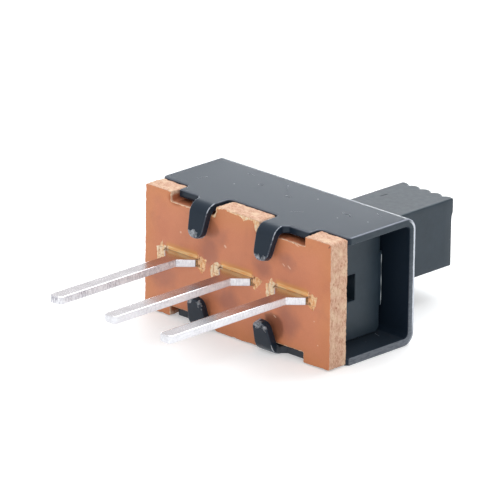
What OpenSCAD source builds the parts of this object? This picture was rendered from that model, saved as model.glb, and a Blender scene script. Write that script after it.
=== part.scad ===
// Three-terminal slide switch: folded steel frame, laminate base, three flat terminals, sliding knob.
// Millimetres. X runs along the knob's travel, Y from the pin side to the knob, Z across the frame.
// The origin is the middle of the base's outer face, on the centre terminal's axis.
// The switch lies on its lower flank, with the knob at its right-hand stop.

/* [Frame] */
// Length of the frame along the knob's travel
frame_l = 8.64; // [8:0.01:12]
// Width over the outer faces of the two flanges
frame_w = 4.46; // [4.2:0.01:6]
// Depth from the base's outer face to the web's outer face
body_d = 4; // [3.3:0.1:5]
// Thickness of the frame's sheet
sheet_t = 0.27; // [0.2:0.01:0.35]
// Inside radius of the two long folds
fold_r = 0.18; // [0.05:0.01:0.3]

/* [Claws] */
// Distance from the middle to the inner edge of each tongue
tongue_in = 1.14; // [0.9:0.02:1.2]
// Distance from the middle to the outer edge of each tongue
tongue_out = 3; // [2.8:0.05:3.6]
// Distance from the middle to the corner where a claw's neck leaves the shoulder
neck_out = 2.1; // [1.95:0.01:2.6]
// Distance from the middle to the outer edge of a claw at its bend
claw_out = 1.94; // [1.8:0.02:2.4]
// How much a claw's outer edge leans in towards its tip
claw_taper = 0.12; // [0:0.01:0.2]
// Radius of a claw's rounded tip
claw_tip_r = 0.31; // [0.2:0.01:0.33]
// Reach of each claw over the base, from the flange's outer face to the tip
claw_reach = 1.15; // [0.95:0.01:1.4]
// Inside radius of a claw's bend
claw_bend_r = 0.2; // [0.15:0.01:0.3]
// How far each claw's finger stands open from the base's face, in degrees
claw_open = 15; // [0:1:25]
// How far the shoulder beside each claw stops behind the base's outer face
shoulder_set = 0.3; // [0.2:0.05:0.5]

/* [Base] */
// Thickness of the laminate base
base_t = 0.8; // [0.6:0.05:1]
// How far the base's edges stop inside the frame's ends and flanges
base_inset = 0.03; // [0:0.01:0.1]

/* [Terminals] */
// Distance from one terminal to the next
pitch = 2.54; // [2.5:0.01:3.06]
// Width of a pin
pin_w = 0.54; // [0.4:0.01:0.66]
// Thickness of the terminals' strip
pin_t = 0.27; // [0.2:0.01:0.33]
// Length of a pin below the base's outer face
pin_l = 5.9; // [3:0.1:8]
// Width of a terminal where it leaves the base
root_w = 1.44; // [1:0.02:1.8]
// Length of that straight root below the base, above the sloped shoulders
root_l = 0.1; // [0.05:0.01:0.4]
// Width of a terminal's contact blade inside the frame
blade_w = 2.1; // [1.7:0.02:2.3]
// Height of the contact blade above the base's inner face
blade_h = 1.05; // [0.8:0.05:1.25]
// Length of the slot in the base for each terminal
slot_l = 2.2; // [1.9:0.02:2.36]

/* [Slider] */
// Full travel of the knob, from one stop to the other
travel = 1.5; // [1:0.1:2]
// Width of the knob along its travel
knob_l = 2.35; // [1.8:0.05:2.85]
// Width of the knob across its travel
knob_w = 2.4; // [1.8:0.05:2.9]
// Height of the knob above the web's outer face
knob_h = 4.45; // [2:0.1:6]
// Radius of the knob's four long edges
knob_r = 0.06; // [0.02:0.01:0.2]
// Number of grip ridges across the knob's end
ridges = 5; // [3:1:7]
// Distance from one grip ridge to the next
ridge_pitch = 0.51; // [0.3:0.01:0.62]
// Depth of the grooves between the ridges
ridge_d = 0.15; // [0.05:0.01:0.2]
// Length of the block that carries the knob inside the frame
block_l = 5.3; // [4.6:0.1:6.4]
// Width of the groove that straddles the contact blades
groove_w = 0.91; // [0.75:0.01:1.1]

/* [Contact] */
// Thickness of the contact clip's strip
clip_t = 0.11; // [0.08:0.01:0.15]
// How far the clip reaches onto the outer terminal's blade at either stop
clip_grip = 0.41; // [0.3:0.01:0.5]

/* [Hidden] */
$fn = 64;
// Overlap of shapes that are joined, and overrun of cuts
eps = 0.02;

// Fits, each on one side
touch = 0.01;
claw_gap = 0.04;
slide_gap = 0.13;
knob_gap = 0.1;
contact_gap = 0.03;
pocket_gap = 0.03;
slot_gap = 0.04;
slot_end_gap = 0.05;
notch_gap = 0.11;
notch_end_gap = 0.07;
relief_gap = 0.02;
block_gap = 0.12;
blade_gap = 0.25;

// Frame
frame_x = frame_l / 2;
frame_z = frame_w / 2;
inner_z = frame_z - sheet_t;
web_y = body_d - sheet_t;
fold_ro = fold_r + sheet_t;
flange_y = base_t + touch;
corner_cut = 0.12;
window_l = knob_l + travel + 2 * knob_gap;
window_w = knob_w + 2 * knob_gap;
window_r = 0.12;

// Claws: each bend passes just clear of the base, and its finger opens away from the base's face
claw_bend_ro = claw_bend_r + sheet_t;
claw_bend_y = claw_bend_r * cos(claw_open) - claw_gap;
claw_bend_z = inner_z - claw_bend_r;
claw_l = (claw_bend_z + claw_bend_ro * sin(claw_open) - frame_z + claw_reach) / cos(claw_open);
claw_tip_x = claw_out - claw_taper - claw_tip_r;
fillet_in = 0.15;
fillet_out = 0.16;

// Base
base_x = frame_x - base_inset;
base_z = frame_z - base_inset;
notch_x0 = tongue_in - fillet_in / 2;
notch_x1 = tongue_out + notch_end_gap;
notch_z = inner_z - notch_gap;
slot_h = pin_t + 2 * slot_gap;

// Terminals: 45 degree shoulders below the base, and again inside its slot
shoulder_y = (pin_w - root_w) / 2 - root_l;
stem_w = slot_l - 2 * slot_end_gap;
stem_y = (stem_w - root_w) / 2;
foot_lip = 0.06;
foot_w = slot_l + 2 * foot_lip;
foot_y0 = base_t + touch;
foot_y1 = base_t + 0.2;
blade_y = base_t + blade_h;
blade_r = 0.7;
tip_r = 0.16;

// Slider
rest_x = travel / 2;
block_y0 = base_t + block_gap;
block_y1 = web_y - 0.45;
block_z = inner_z - slide_gap;
block_cut = 0.12;
groove_y = blade_y + blade_gap;
pad_l = 0.9;
pad_w = 1.9;
pad_h = 0.1;
collar_y = web_y - slide_gap;
collar_l = knob_l + 0.7;
collar_w = block_z + window_w / 2;
knob_y = body_d + knob_h;
ridge_r = (ridge_pitch * ridge_pitch / 4 + ridge_d * ridge_d) / (2 * ridge_d);

// Contact clip: inner face of one arm as [Y, Z] stations from the bridge to the flared lip
clip_l = 2 * (pitch - blade_w / 2 + clip_grip - rest_x);
clip_z = groove_w / 2 + 0.145;
clip_y0 = base_t + 0.3;
clip_y1 = groove_y + clip_t;
pinch_y = base_t + 0.55;
pinch_z = pin_t / 2 + contact_gap;
pinch_h = 0.1;
lip_flare = 0.15;
arm = [
    [groove_y, clip_z - clip_t],
    [pinch_y + pinch_h, pinch_z],
    [pinch_y - pinch_h, pinch_z],
    [clip_y0, pinch_z + lip_flare]];
slit_w = 0.24;
slit_y1 = groove_y - 0.15;
pocket_l = clip_l + 2 * pocket_gap;
pocket_z = clip_z + pocket_gap;
pocket_y = clip_y1 + pocket_gap;

// A fold between two places along X, around a centre at y and z. It turns by a quarter,
// less an angle that it stays open.
module fold(x0, x1, y, z, ri, ro, open = 0) {
    reach = 2 * ro;
    translate([x0, y, z])
        intersection() {
            rotate([0, 90, 0])
                difference() {
                    cylinder(h = x1 - x0, r = ro);
                    translate([0, 0, -eps])
                        cylinder(h = x1 - x0 + 2 * eps, r = ri);
                }
            rotate([90, 0, 90])
                linear_extrude(x1 - x0)
                    polygon([
                        [0, 0],
                        [reach, reach * tan(open)],
                        [reach, reach],
                        [0, reach]]);
        }
}

// Corner fill between the flange's edge and a tongue's side: a square less a circle.
// x is the circle's centre, dir the side of it that the tongue is on.
module fillet(x, dir, r, gap = 0) {
    difference() {
        translate([dir > 0 ? x : x - r - eps, flange_y - r])
            square([r + eps, r + eps]);
        translate([x, flange_y - r])
            circle(r = r - gap);
    }
}

// Both corner fills of one tongue
module fillets(gap = 0) {
    fillet(tongue_in - fillet_in, 1, fillet_in, gap);
    fillet(tongue_out + fillet_out, -1, fillet_out, gap);
}

// Flange and tongues as a flat plan, seen from above
module flange_plan() {
    polygon([
        [-frame_x, flange_y + corner_cut],
        [-frame_x + corner_cut, flange_y],
        [frame_x - corner_cut, flange_y],
        [frame_x, flange_y + corner_cut],
        [frame_x, body_d - fold_ro],
        [-frame_x, body_d - fold_ro]]);
    for (s = [0, 1])
        mirror([s, 0])
            tongue_plan();
}

// One tongue: its shoulder stops inside the base's notch and the claw's neck runs on
module tongue_plan() {
    polygon([
        [tongue_in, flange_y + eps],
        [tongue_in, claw_bend_y],
        [claw_out, claw_bend_y],
        [neck_out, shoulder_set],
        [tongue_out, shoulder_set],
        [tongue_out, flange_y + eps]]);
    fillets();
}

// The finger of a claw, flat, from the end of its bend down to its rounded tip
module finger_plan() {
    polygon([
        [tongue_in, 0],
        [claw_out, 0],
        [claw_tip_x + claw_tip_r, claw_tip_r - claw_l],
        [claw_tip_x - claw_tip_r, claw_tip_r - claw_l]]);
    translate([claw_tip_x, claw_tip_r - claw_l])
        circle(r = claw_tip_r);
}

// One claw: bend, and finger turned about the bend's centre
module claw() {
    translate([0, claw_bend_y, claw_bend_z])
        mirror([0, 1, 0]) {
            fold(tongue_in, claw_out, 0, 0, claw_bend_r, claw_bend_ro, claw_open);
            rotate([claw_open, 0, 0])
                translate([0, claw_bend_ro, 0])
                    rotate([90, 0, 0])
                        linear_extrude(sheet_t)
                            finger_plan();
        }
}

// Folded and coated steel frame with the knob's window and four claws
module frame() {
    color("#2b3036") {
        for (s = [0, 1])
            mirror([0, 0, s]) {
                translate([0, 0, inner_z])
                    linear_extrude(sheet_t)
                        flange_plan();
                fold(-frame_x, frame_x, body_d - fold_ro, frame_z - fold_ro, fold_r, fold_ro);
                for (t = [0, 1])
                    mirror([t, 0, 0])
                        claw();
            }
        difference() {
            translate([-frame_x, web_y, fold_ro - frame_z])
                cube([frame_l, sheet_t, frame_w - 2 * fold_ro]);
            translate([0, body_d + eps, 0])
                rotate([90, 0, 0])
                    linear_extrude(sheet_t + 2 * eps)
                        rounded_box(window_l, window_w, window_r);
        }
    }
}

// Rectangle with rounded corners, centred
module rounded_box(l, w, r) {
    square([l - 2 * r, w], center = true);
    square([l, w - 2 * r], center = true);
    for (x = [-1, 1], y = [-1, 1])
        translate([x * (l / 2 - r), y * (w / 2 - r)])
            circle(r = r);
}

// Laminate base with four notches for the claws and three slots for the terminals
module base() {
    color("#b9714d")
        difference() {
            translate([-base_x, 0, -base_z])
                cube([2 * base_x, base_t, 2 * base_z]);
            for (s = [0, 1], t = [0, 1])
                mirror([0, 0, s])
                    mirror([t, 0, 0])
                        translate([0, 0, notch_z])
                            linear_extrude(base_z - notch_z + eps)
                                notch_plan();
            for (i = [-1, 0, 1])
                translate([i * pitch - slot_l / 2, -eps, -slot_h / 2])
                    cube([slot_l, base_t + 2 * eps, slot_h]);
        }
}

// One notch, seen from above, relieved at both ends for the tongue's corner fills
module notch_plan() {
    translate([notch_x0, -eps])
        square([notch_x1 - notch_x0, base_t + 2 * eps]);
    fillets(relief_gap);
}

// Terminal as a flat plan: rounded pin, sloped shoulders, root, stem in the base, foot and blade
module terminal_plan() {
    polygon([
        [-pin_w / 2, tip_r - pin_l],
        [pin_w / 2, tip_r - pin_l],
        [pin_w / 2, shoulder_y],
        [root_w / 2, -root_l],
        [root_w / 2, 0],
        [stem_w / 2, stem_y],
        [stem_w / 2, foot_y0],
        [foot_w / 2, foot_y0],
        [foot_w / 2, foot_y1],
        [blade_w / 2, foot_y1],
        [blade_w / 2, blade_y - blade_r],
        [-blade_w / 2, blade_y - blade_r],
        [-blade_w / 2, foot_y1],
        [-foot_w / 2, foot_y1],
        [-foot_w / 2, foot_y0],
        [-stem_w / 2, foot_y0],
        [-stem_w / 2, stem_y],
        [-root_w / 2, 0],
        [-root_w / 2, -root_l],
        [-pin_w / 2, shoulder_y]]);
    rounded_end(pin_w, tip_r, tip_r - pin_l, -1);
    rounded_end(blade_w, blade_r, blade_y - blade_r, 1);
}

// Rounded end of a strip of width w, from y towards the side dir
module rounded_end(w, r, y, dir) {
    translate([0, y + dir * (r - eps) / 2])
        square([w - 2 * r, r + eps], center = true);
    for (s = [-1, 1])
        translate([s * (w / 2 - r), y])
            circle(r = r);
}

// One stamped terminal at a place along the frame
module terminal(x) {
    color("#c9ccd1")
        translate([x, 0, -pin_t / 2])
            linear_extrude(pin_t)
                terminal_plan();
}

module terminal_left() {
    terminal(-pitch);
}

module terminal_middle() {
    terminal(0);
}

module terminal_right() {
    terminal(pitch);
}

// Section of the slider's block across the frame, with its groove and two broken edges
module block_section() {
    polygon([
        [block_y0, -block_z],
        [block_y1 - block_cut, -block_z],
        [block_y1, block_cut - block_z],
        [block_y1, block_z - block_cut],
        [block_y1 - block_cut, block_z],
        [block_y0, block_z],
        [block_y0, groove_w / 2],
        [groove_y, groove_w / 2],
        [groove_y, -groove_w / 2],
        [block_y0, -groove_w / 2]]);
}

// Moulded slider: grooved block, two pads, the collar behind the window and the ridged knob
module slider() {
    color("#2e3338")
        translate([rest_x, 0, 0]) {
            difference() {
                translate([-block_l / 2, 0, 0])
                    rotate([90, 0, 90])
                        linear_extrude(block_l)
                            block_section();
                translate([-pocket_l / 2, block_y0 - eps, -pocket_z])
                    cube([pocket_l, pocket_y - block_y0 + eps, 2 * pocket_z]);
            }
            for (s = [-1, 1])
                translate([s * (block_l - pad_l) / 2 - pad_l / 2, block_y1 - eps, -pad_w / 2])
                    cube([pad_l, pad_h + eps, pad_w]);
            translate([-collar_l / 2, block_y1 - eps, -collar_w / 2])
                cube([collar_l, collar_y - block_y1 + eps, collar_w]);
            knob_bar(block_y1 - eps, knob_y - ridge_d);
            intersection() {
                grip();
                knob_bar(knob_y - ridge_d - eps, knob_y + eps);
            }
        }
}

// The knob's bar between two depths
module knob_bar(y0, y1) {
    translate([0, y1, 0])
        rotate([90, 0, 0])
            linear_extrude(y1 - y0)
                rounded_box(knob_l, knob_w, knob_r);
}

// Rounded grip ridges across the knob's end
module grip() {
    for (i = [0 : ridges - 1])
        translate([(i - (ridges - 1) / 2) * ridge_pitch, knob_y - ridge_r, -knob_w / 2 - eps])
            cylinder(h = knob_w + 2 * eps, r = ridge_r);
}

// Section of the contact clip: a bridge and two arms that pinch the blades
module clip_section() {
    last = len(arm) - 1;
    polygon(concat(
        [[clip_y1, clip_z]],
        [for (p = arm) [p[0], p[1] + clip_t]],
        [for (i = [last : -1 : 0]) arm[i]],
        [for (p = arm) [p[0], -p[1]]],
        [for (i = [last : -1 : 0]) [arm[i][0], -arm[i][1] - clip_t]],
        [[clip_y1, -clip_z]]));
}

// Sprung contact clip that joins two neighbouring blades
module contact_clip() {
    color("#c8a86a")
        translate([rest_x, 0, 0])
            difference() {
                translate([-clip_l / 2, 0, 0])
                    rotate([90, 0, 90])
                        linear_extrude(clip_l)
                            clip_section();
                translate([-slit_w / 2, clip_y0 - eps, -clip_z - eps])
                    cube([slit_w, slit_y1 - clip_y0 + eps, 2 * (clip_z + eps)]);
            }
}

frame();
base();
terminal_left();
terminal_middle();
terminal_right();
slider();
contact_clip();
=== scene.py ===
"""Looks of the three-terminal slide switch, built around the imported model.

Most visible pieces are plates: an outline with rounded edges, given a thickness, then put in
place flat or folded. Outlines are in millimetres, and meshes are written in metres.
"""
import math
import random
from functools import reduce

import bmesh
import bpy
import numpy as np
from mathutils import Matrix, Vector, noise
from mathutils.geometry import delaunay_2d_cdt


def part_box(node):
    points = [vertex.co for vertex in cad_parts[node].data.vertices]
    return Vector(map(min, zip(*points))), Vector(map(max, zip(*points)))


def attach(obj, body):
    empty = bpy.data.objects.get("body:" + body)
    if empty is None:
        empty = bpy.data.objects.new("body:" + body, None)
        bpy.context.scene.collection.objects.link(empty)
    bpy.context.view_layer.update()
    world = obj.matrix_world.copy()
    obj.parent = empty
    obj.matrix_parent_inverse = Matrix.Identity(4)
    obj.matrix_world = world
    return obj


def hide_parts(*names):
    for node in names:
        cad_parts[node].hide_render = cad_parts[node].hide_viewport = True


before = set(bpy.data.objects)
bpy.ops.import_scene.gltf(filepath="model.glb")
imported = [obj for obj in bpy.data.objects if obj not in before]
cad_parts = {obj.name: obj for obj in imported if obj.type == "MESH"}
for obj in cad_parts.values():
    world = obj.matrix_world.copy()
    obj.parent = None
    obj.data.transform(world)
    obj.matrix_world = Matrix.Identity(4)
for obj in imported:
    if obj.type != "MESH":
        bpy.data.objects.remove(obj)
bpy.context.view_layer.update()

MM = 0.001


def node_box(name):
    """Lowest and highest corner of a CAD node, in millimetres."""
    low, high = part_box(name)
    return np.array(low) / MM, np.array(high) / MM


# ---------------- sizes in millimetres
FRAME_LOW, FRAME_HIGH = node_box("frame")
PIN_LOW, PIN_HIGH = node_box("terminal_middle")
SLIDER_LOW, SLIDER_HIGH = node_box("slider")
FRAME_X, BODY_D, FRAME_Z = FRAME_HIGH
BASE_X, BASE_T, BASE_Z = node_box("base")[1]
PITCH = node_box("terminal_right")[1][0] - PIN_HIGH[0]
TRAVEL = 1.5

SHEET = 0.27
TOUCH = 0.01
INNER_Z = FRAME_Z - SHEET
WEB_Y = BODY_D - SHEET
FOLD_R = 0.18
FOLD_Y = BODY_D - SHEET - FOLD_R
FOLD_Z = FRAME_Z - SHEET - FOLD_R
FLANGE_Y = BASE_T + TOUCH
CORNER_CUT = 0.12

TONGUE_IN = 1.14
TONGUE_OUT = 3.0
NECK_OUT = 2.1
CLAW_OUT = 1.94
CLAW_TAPER = 0.12
CLAW_TIP_R = 0.31
CLAW_TIP_Z = 1.08
CLAW_OPEN = math.radians(15)
CLAW_BEND_R = 0.2
CLAW_BEND_Y = CLAW_BEND_R * math.cos(CLAW_OPEN) - 0.04
CLAW_BEND_Z = INNER_Z - CLAW_BEND_R
CLAW_L = (CLAW_BEND_Z + (CLAW_BEND_R + SHEET) * math.sin(CLAW_OPEN) - CLAW_TIP_Z) / math.cos(CLAW_OPEN)
SHOULDER_Y = 0.3
FILLET_IN = 0.15
FILLET_OUT = 0.16

NOTCH_X0 = TONGUE_IN - 0.12
NOTCH_X1 = TONGUE_OUT + 0.07
NOTCH_Z = INNER_Z - 0.11
SLOT_L = 2.2
TORN_H = 0.37
SLOT_H = 0.276

PIN_W = 0.54
PIN_T = PIN_HIGH[2] - PIN_LOW[2]
ROOT_W = 1.44
ROOT_L = 0.1
ROOT_Y = 0.15
STEM_W = SLOT_L - 0.1
FOOT_Y = BASE_T + 0.2
BLADE_W = 2.1
BLADE_R = 0.7
PIN_TIP_R = 0.16

KNOB_L = 2.35
KNOB_W = 2.4
KNOB_X = TRAVEL / 2
KNOB_Y = SLIDER_HIGH[1]
RIDGES = 5
RIDGE_PITCH = 0.51
RIDGE_D = 0.15
SHORT_RIDGE = 0.07
SHORT_RIDGE_Z = (0.5, 0.75)
WINDOW_GAP = 0.1
WINDOW_Z = KNOB_W / 2 + WINDOW_GAP
WINDOW_R = 0.12
BLOCK_Y0 = SLIDER_LOW[1]
BLOCK_Y1 = WEB_Y - 0.45
BLOCK_Z = SLIDER_HIGH[2]
BLOCK_CUT = 0.12
GROOVE_W = 0.91
GROOVE_Y = PIN_HIGH[1] + 0.25
PAD_L = 0.9
PAD_W = 1.9
PAD_H = 0.1
POCKET_GAP = 0.03
PIN_EDGE = 0.045
KNOB_EDGE = 0.06
BLOCK_EDGE = 0.035
COLLAR_L = KNOB_L + 0.7
COLLAR_GAP = 0.13
SUNK = 0.1
FLASH_R = 0.012
FLASH_STEPS = 60
FLASH_SIDES = 6


# ---------------- outlines
def unit(vector):
    return vector / np.linalg.norm(vector)


def rounded(points, step=math.radians(10)):
    """Closed outline from (a, b, corner radius) triples, with each corner as an arc."""
    out = []
    corners = np.array(points, float)
    for before, (a, b, radius), after in zip(np.roll(corners, 1, 0), corners, np.roll(corners, -1, 0)):
        corner = np.array((a, b))
        if radius <= 0:
            out.append(corner)
            continue
        back, ahead = unit(before[:2] - corner), unit(after[:2] - corner)
        half = math.acos(np.clip(back @ ahead, -1, 1)) / 2
        centre = corner + unit(back + ahead) * radius / math.sin(half)
        first, last = (corner + side * radius / math.tan(half) - centre for side in (back, ahead))
        start = math.atan2(first[1], first[0])
        turn = (math.atan2(last[1], last[0]) - start + math.pi) % (2 * math.pi) - math.pi
        count = max(2, math.ceil(abs(turn) / step))
        for angle in (start + turn * j / count for j in range(count + 1)):
            out.append(centre + radius * np.array((math.cos(angle), math.sin(angle))))
    return tidy(np.array(out))


def mirrored(right):
    """Corners on the right, then their mirror images on the left."""
    return right + [(-a, b, radius) for a, b, radius in reversed(right)]


def doubled(half):
    """Corners of one half of an outline, then the same turned by half a turn."""
    return half + [(-a, -b, radius) for a, b, radius in half]


def columns(x, y, z):
    """Points from their three coordinates."""
    return np.stack([x, y, z], 1)


def tidy(loop, least=1e-4):
    """The loop without repeated points."""
    keep = np.linalg.norm(loop - np.roll(loop, 1, 0), axis=1) > least
    return loop[keep]


def divide(loop, longest, levels=()):
    """The loop with points added so that no edge is long, and where it crosses a level of b."""
    out = []
    for start, end in zip(loop, np.roll(loop, -1, 0)):
        cuts = {0.0}
        rise = end[1] - start[1]
        for level in levels:
            if abs(rise) > 1e-6 and 0.02 < (level - start[1]) / rise < 0.98:
                cuts.add((level - start[1]) / rise)
        count = math.ceil(np.linalg.norm(end - start) / longest)
        even = [j / count for j in range(1, count)]
        cuts.update(e for e in even if all(abs(e - cut) > 0.2 / count for cut in cuts))
        out += [start + (end - start) * c for c in sorted(cuts)]
    return np.array(out)


def box_loop(low, high, radius):
    """Rectangle between two corners, with rounded corners."""
    (a0, b0), (a1, b1) = low, high
    return rounded([(a0, b0, radius), (a1, b0, radius), (a1, b1, radius), (a0, b1, radius)])


def away_from_material(loop):
    """Mitred normals of a loop, pointing off its left-hand side's material."""
    ahead = np.roll(loop, -1, 0) - loop
    ahead /= np.linalg.norm(ahead, axis=1)[:, None]
    normal = np.stack([ahead[:, 1], -ahead[:, 0]], 1)
    before = np.roll(normal, 1, 0)
    mitre = (normal + before) / (1 + (normal * before).sum(1))[:, None]
    return mitre / np.maximum(1, np.linalg.norm(mitre, axis=1) / 2)[:, None]


def inside(points, loops):
    """Whether each point lies in the area that the loops bound, by the even-odd rule."""
    found = np.zeros(len(points), bool)
    for loop in loops:
        for (a0, b0), (a1, b1) in zip(loop, np.roll(loop, -1, 0)):
            crosses = (b0 > points[:, 1]) != (b1 > points[:, 1])
            if crosses.any():
                at = a0 + (points[:, 1] - b0) * (a1 - a0) / (b1 - b0 + 1e-30)
                found ^= crosses & (points[:, 0] < at)
    return found


def clearance(points, loops):
    """Distance from each point to the nearest edge of the loops."""
    nearest = np.full(len(points), 1e9)
    for loop in loops:
        for start, end in zip(loop, np.roll(loop, -1, 0)):
            along = end - start
            t = np.clip(((points - start) @ along) / max(along @ along, 1e-12), 0, 1)
            nearest = np.minimum(nearest, np.linalg.norm(points - start - t[:, None] * along, axis=1))
    return nearest


# ---------------- plates
ARC = 4
SAME_WAY = 0.05
MEET_REACH = 1.5


def meeting(loop, ring, before, after):
    """Where the ring's edges on either side of a run of crossed points meet."""
    along = loop[before] - loop[before - 1]
    beyond = loop[(after + 1) % len(loop)] - loop[after]
    gap = ring[after] - ring[before]
    cross = along[0] * beyond[1] - along[1] * beyond[0]
    if abs(cross) > SAME_WAY * np.linalg.norm(along) * np.linalg.norm(beyond):
        reach = (gap[0] * beyond[1] - gap[1] * beyond[0]) / cross
        if 0 <= reach * np.linalg.norm(along) <= np.linalg.norm(gap) * MEET_REACH:
            return ring[before] + along * reach
    return (ring[before] + ring[after]) / 2


def inset(loop, amount):
    """The loop moved into its material by an amount. Points that would cross others, as round
    a corner that is tighter than the amount, gather where the edges beside them meet."""
    if amount <= 0:
        return loop
    ring = loop - away_from_material(loop) * amount
    good = clearance(ring, [loop]) > amount * 0.9999
    if good.all() or not good.any():
        return ring
    size = len(loop)
    start = int(np.argmax(good))
    run = []
    for i in [(start + j) % size for j in range(size + 1)]:
        if not good[i]:
            run.append(i)
        elif run:
            ring[run] = meeting(loop, ring, (run[0] - 1) % size, i)
            run = []
    return ring


def cap_faces(loops, inner):
    """Triangles over the area between the loops, through the inner points. Indices run on
    from the loops' points to the inner ones."""
    points = np.vstack([*loops, inner]) if len(inner) else np.vstack(loops)
    edges, first = [], 0
    for loop in loops:
        count = len(loop)
        edges += [(first + i, first + (i + 1) % count) for i in range(count)
                  if np.linalg.norm(loop[i] - loop[(i + 1) % count]) > 1e-5]
        first += count
    made = delaunay_2d_cdt([Vector(p) for p in points], edges, [], 0, 1e-6)
    source = [ids[0] if ids else int(np.argmin(np.linalg.norm(points - place[:2], axis=1)))
              for ids, place in zip(made[3], made[0])]
    faces = np.array([[source[i] for i in face] for face in made[2]])
    return faces[inside(points[faces].mean(1), loops)]


def edge_rings(half, edge, support, walls):
    """Rings down a rounded edge and its cut side, as (inset, height, rim, cut)."""
    upper = [(edge + support, half, 0, 0)]
    for j in range(ARC + 1):
        t = math.pi / 2 * j / ARC
        upper.append((edge * (1 - math.sin(t)), half - edge * (1 - math.cos(t)), math.sin(2 * t), j / ARC))
    wall = [(0, (half - edge) * (1 - 2 * k / walls), 0, 1) for k in range(1, walls)]
    return upper + wall + [(inward, -height, rim, cut) for inward, height, rim, cut in reversed(upper)]


class Plate:
    """The points, faces and marks of a plate, collected ring by ring."""

    def __init__(self, place, half):
        self.place = place
        self.half = half
        self.count = 0
        self.points, self.faces, self.marks = [], [], []

    def add(self, spots, height, rim, cut):
        """Adds spots of the flat outline at one height, and gives their numbers."""
        size = len(spots)
        self.points.append(self.place(spots[:, 0], spots[:, 1], np.full(size, height)))
        self.marks.append(np.tile((rim, cut, height / self.half), (size, 1)))
        self.count += size
        return np.arange(self.count - size, self.count)

    def strip(self, above, below):
        """Adds the faces between two rings."""
        quads = np.stack([above, below, np.roll(below, -1), np.roll(above, -1)], 1)
        self.faces += [tuple(face) for face in quads.tolist()]

    def cap(self, rings, inner, height, support):
        """Closes a side between its (loop, numbers) rings, through the inner points."""
        loops = [loop for loop, _ in rings]
        numbers = [ids for _, ids in rings]
        if len(inner):
            inner = inner[inside(inner, loops)]
            inner = inner[clearance(inner, loops) > support]
            numbers.append(self.add(inner, height, 0, 0))
        made = np.concatenate(numbers)[cap_faces(loops, inner)]
        self.faces += [tuple(face if height > 0 else face[::-1]) for face in made.tolist()]

    def part(self):
        rim, cut, up = np.vstack(self.marks).T
        return np.vstack(self.points), self.faces, {"rim": rim, "cut": cut, "up": up}


def plate(loops, thick, place, edge=0.04, inner=(), walls=1, ragged=None, support=0.02):
    """A plate with rounded edges as (points, faces, marks).

    loops are the outline and the holes, place turns (a, b, height) arrays into points, edge is
    how far its edges are rounded, or one such value for each loop, inner are points inside the
    outline, walls is how many strips the cut side has, and ragged gives how far each point of a
    loop stands in at a height, for a rough cut."""
    half = thick / 2
    edges = edge if isinstance(edge, list) else [edge] * len(loops)
    made = Plate(place, half)
    upper, lower = [], []
    for loop, loop_edge in zip(loops, edges):
        away = away_from_material(loop)
        rings = []
        for inward, height, rim, cut in edge_rings(half, loop_edge, support, walls):
            rough = loop if ragged is None else loop - away * ragged(loop, height)[:, None]
            ring = inset(rough, inward)
            rings.append((ring, made.add(ring, height, rim, cut)))
        for (_, above), (_, below) in zip(rings, rings[1:]):
            made.strip(above, below)
        upper.append(rings[0])
        lower.append(rings[-1])
    body = np.array(inner, float).reshape(-1, 2)
    made.cap(upper, body, half, support)
    made.cap(lower, body, -half, support)
    return made.part()


def joined(*parts):
    """Several (points, faces, marks) as one. A mark that a part lacks is 0 there."""
    names = sorted({name for _, _, marks in parts for name in marks})
    points, faces, values = [], [], {name: [] for name in names}
    first = 0
    for part_points, part_faces, marks in parts:
        points.append(part_points)
        faces += [tuple(i + first for i in face) for face in part_faces]
        for name in names:
            values[name].append(marks.get(name, np.zeros(len(part_points))))
        first += len(part_points)
    return np.vstack(points), faces, {name: np.concatenate(found) for name, found in values.items()}


WELD = 0.0005
SHARP = 40
MOULDED_SHARP = 35


def raw_mesh(name, part):
    """A mesh of (points, faces, marks), each mark a number at each point."""
    points, faces, marks = part
    mesh = bpy.data.meshes.new(name)
    mesh.from_pydata((points * MM).tolist(), [], faces)
    for key, values in marks.items():
        layer = mesh.attributes.new(key, "FLOAT", "POINT")
        layer.data.foreach_set("value", np.array(values, np.float32))
    return mesh


def soften(mesh, sharp):
    """Smooth shading, but for edges that turn more than so many degrees."""
    mesh.shade_smooth()
    mesh.set_sharp_from_angle(angle=math.radians(sharp))


def in_scene(name, data):
    """A new object of some data, linked to the scene."""
    made = bpy.data.objects.new(name, data)
    bpy.context.scene.collection.objects.link(made)
    return made


def make_object(name, part):
    """A Blender object from (points, faces, marks), its close points welded."""
    mesh = raw_mesh(name, part)
    work = bmesh.new()
    work.from_mesh(mesh)
    bmesh.ops.remove_doubles(work, verts=work.verts, dist=WELD * MM)
    bmesh.ops.dissolve_degenerate(work, edges=work.edges, dist=WELD * MM)
    bmesh.ops.recalc_face_normals(work, faces=work.faces)
    work.to_mesh(mesh)
    work.free()
    soften(mesh, SHARP)
    return in_scene(name, mesh)


def dress(piece, body, nodes, material):
    """Puts a piece in a CAD body, in the place of its CAD nodes, with its material."""
    piece.data.materials.clear()
    piece.data.materials.append(material)
    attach(piece, body)
    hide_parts(*nodes)
    return piece


def smooth(value, low, high):
    """0 below low, 1 above high, and a smooth step between them."""
    share = np.clip((value - low) / (high - low), 0, 1)
    return share * share * (3 - 2 * share)


def wander(points, scale, seed):
    """Smooth noise from -1 to 1 at each point."""
    offset = Vector((seed * 7.3, seed * 3.1, seed * 5.7))
    return np.array([noise.noise(Vector(p) * scale + offset) for p in points.tolist()])


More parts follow.
